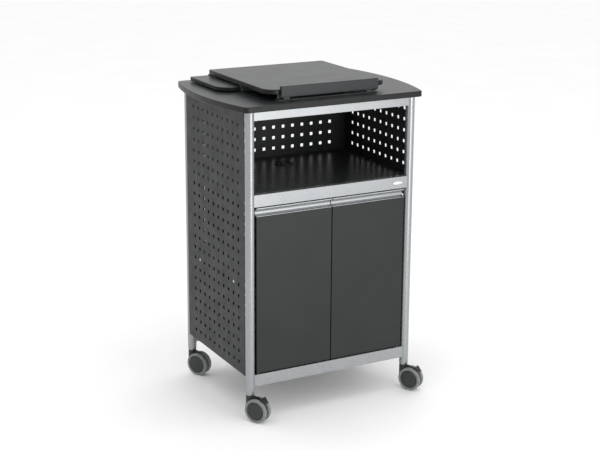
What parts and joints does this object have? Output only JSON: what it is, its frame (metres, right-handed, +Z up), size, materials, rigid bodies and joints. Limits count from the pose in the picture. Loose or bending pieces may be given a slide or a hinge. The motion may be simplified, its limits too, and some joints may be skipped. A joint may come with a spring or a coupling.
{
  "type": "presentation lectern",
  "caption": "Rolling lectern: bowed worktop with a tilting reading board and sliding mouse tray, open shelf and two-door cabinet in a tube frame with perforated panels on casters.",
  "frame": {"origin": "centre of the footprint box of the whole stand, on the floor", "axes": "+Z up, -Y towards the presenter and the cabinet doors, +X to the presenter's right"},
  "size_m": [0.674, 0.5238, 1.018],
  "materials": {
    "silver_frame": "metallic silver powder coat",
    "black_laminate": "black textured laminate board",
    "door_laminate": "charcoal laminate board, satin",
    "black_panel": "black powder-coated perforated sheet",
    "zinc_steel": "zinc plated",
    "black_steel": "black powder coat",
    "wheel_grey": "grey soft tread",
    "black_plastic": "moulded, fine texture"
  },
  "bodies": {
    "frame": {"post_front_left": "silver_frame", "post_front_right": "silver_frame", "post_rear_left": "silver_frame", "post_rear_right": "silver_frame", "front_top_rail": "silver_frame", "front_middle_rail": "silver_frame", "front_bottom_rail": "silver_frame", "rear_top_rail": "silver_frame", "rear_bottom_rail": "silver_frame", "side_panel_left": "black_panel", "side_panel_right": "black_panel", "back_panel": "black_panel", "worktop": "black_laminate", "upper_shelf": "black_laminate", "base_panel": "black_laminate", "adjustable_shelf": "black_laminate", "shelf_clip_front_left": "zinc_steel", "shelf_clip_front_right": "zinc_steel", "shelf_clip_rear_left": "zinc_steel", "shelf_clip_rear_right": "zinc_steel", "cable_grommet": "black_plastic", "door_catch": "black_plastic", "hinge_base": "black_steel", "hinge_rod": "zinc_steel", "prop_track": "black_steel", "tray_guide_front": "black_steel", "tray_guide_rear": "black_steel"},
    "door_left": {"door_left": "door_laminate", "door_pull_left": "silver_frame", "door_pin_bottom_left": "zinc_steel", "door_pin_top_left": "zinc_steel"},
    "door_right": {"door_right": "door_laminate", "door_pull_right": "silver_frame", "door_pin_bottom_right": "zinc_steel", "door_pin_top_right": "zinc_steel"},
    "board": {"lectern_board": "black_laminate", "paper_ledge": "black_laminate", "hinge_leaf": "black_steel", "prop_bracket": "black_steel"},
    "prop": {"prop_stay": "zinc_steel"},
    "tray": {"mouse_tray": "black_laminate"},
    "caster_front_left": {"caster_hood_front_left": "black_plastic", "caster_axle_front_left": "zinc_steel"},
    "wheel_inner_front_left": {"wheel_inner_front_left": "wheel_grey"},
    "wheel_outer_front_left": {"wheel_outer_front_left": "wheel_grey"},
    "brake_front_left": {"brake_lever_front_left": "black_plastic"},
    "caster_front_right": {"caster_hood_front_right": "black_plastic", "caster_axle_front_right": "zinc_steel"},
    "wheel_inner_front_right": {"wheel_inner_front_right": "wheel_grey"},
    "wheel_outer_front_right": {"wheel_outer_front_right": "wheel_grey"},
    "brake_front_right": {"brake_lever_front_right": "black_plastic"},
    "caster_rear_left": {"caster_hood_rear_left": "black_plastic", "caster_axle_rear_left": "zinc_steel"},
    "wheel_inner_rear_left": {"wheel_inner_rear_left": "wheel_grey"},
    "wheel_outer_rear_left": {"wheel_outer_rear_left": "wheel_grey"},
    "caster_rear_right": {"caster_hood_rear_right": "black_plastic", "caster_axle_rear_right": "zinc_steel"},
    "wheel_inner_rear_right": {"wheel_inner_rear_right": "wheel_grey"},
    "wheel_outer_rear_right": {"wheel_outer_rear_right": "wheel_grey"}
  },
  "joints": [
    {"name": "door_left_swing", "type": "hinge", "parent": "frame", "child": "door_left", "pos_m": [-0.2482, -0.19714, 0.4], "axis": [0, 0, -1], "range_deg": [0, 110]},
    {"name": "door_right_swing", "type": "hinge", "parent": "frame", "child": "door_right", "pos_m": [0.2482, -0.19714, 0.4], "axis": [0, 0, 1], "range_deg": [0, 110]},
    {"name": "board_tilt", "type": "hinge", "parent": "frame", "child": "board", "pos_m": [0, -0.16914, 0.983], "axis": [1, 0, 0], "range_deg": [0, 30]},
    {"name": "prop_swing", "type": "hinge", "parent": "board", "child": "prop", "pos_m": [0.11, 0.03086, 0.983], "axis": [1, 0, 0], "range_deg": [-60, 0]},
    {"name": "tray_slide", "type": "slide", "parent": "frame", "child": "tray", "axis": [-1, 0, 0], "range_m": [-0.063, 0.12]},
    {"name": "caster_swivel_front_left", "type": "hinge", "parent": "frame", "child": "caster_front_left", "pos_m": [-0.275, -0.19814, 0.08], "axis": [0, 0, 1], "continuous": true},
    {"name": "wheel_spin_inner_front_left", "type": "hinge", "parent": "caster_front_left", "child": "wheel_inner_front_left", "pos_m": [-0.261, -0.22239, 0.0375], "axis": [0.866, 0.5, 0], "continuous": true},
    {"name": "wheel_spin_outer_front_left", "type": "hinge", "parent": "caster_front_left", "child": "wheel_outer_front_left", "pos_m": [-0.261, -0.22239, 0.0375], "axis": [0.866, 0.5, 0], "continuous": true},
    {"name": "brake_press_front_left", "type": "hinge", "parent": "caster_front_left", "child": "brake_front_left", "pos_m": [-0.259, -0.22585, 0.0695], "axis": [0.866, 0.5, 0], "range_deg": [0, 12]},
    {"name": "caster_swivel_front_right", "type": "hinge", "parent": "frame", "child": "caster_front_right", "pos_m": [0.275, -0.19814, 0.08], "axis": [0, 0, 1], "continuous": true},
    {"name": "wheel_spin_inner_front_right", "type": "hinge", "parent": "caster_front_right", "child": "wheel_inner_front_right", "pos_m": [0.289, -0.22239, 0.0375], "axis": [0.866, 0.5, 0], "continuous": true},
    {"name": "wheel_spin_outer_front_right", "type": "hinge", "parent": "caster_front_right", "child": "wheel_outer_front_right", "pos_m": [0.289, -0.22239, 0.0375], "axis": [0.866, 0.5, 0], "continuous": true},
    {"name": "brake_press_front_right", "type": "hinge", "parent": "caster_front_right", "child": "brake_front_right", "pos_m": [0.291, -0.22585, 0.0695], "axis": [0.866, 0.5, 0], "range_deg": [0, 12]},
    {"name": "caster_swivel_rear_left", "type": "hinge", "parent": "frame", "child": "caster_rear_left", "pos_m": [-0.275, 0.23186, 0.08], "axis": [0, 0, 1], "continuous": true},
    {"name": "wheel_spin_inner_rear_left", "type": "hinge", "parent": "caster_rear_left", "child": "wheel_inner_rear_left", "pos_m": [-0.261, 0.20761, 0.0375], "axis": [0.866, 0.5, 0], "continuous": true},
    {"name": "wheel_spin_outer_rear_left", "type": "hinge", "parent": "caster_rear_left", "child": "wheel_outer_rear_left", "pos_m": [-0.261, 0.20761, 0.0375], "axis": [0.866, 0.5, 0], "continuous": true},
    {"name": "caster_swivel_rear_right", "type": "hinge", "parent": "frame", "child": "caster_rear_right", "pos_m": [0.275, 0.23186, 0.08], "axis": [0, 0, 1], "continuous": true},
    {"name": "wheel_spin_inner_rear_right", "type": "hinge", "parent": "caster_rear_right", "child": "wheel_inner_rear_right", "pos_m": [0.289, 0.20761, 0.0375], "axis": [0.866, 0.5, 0], "continuous": true},
    {"name": "wheel_spin_outer_rear_right", "type": "hinge", "parent": "caster_rear_right", "child": "wheel_outer_rear_right", "pos_m": [0.289, 0.20761, 0.0375], "axis": [0.866, 0.5, 0], "continuous": true}
  ],
  "couplings": [
    {"joint": "prop_swing", "follows": "board_tilt", "ratio": -2}
  ]
}
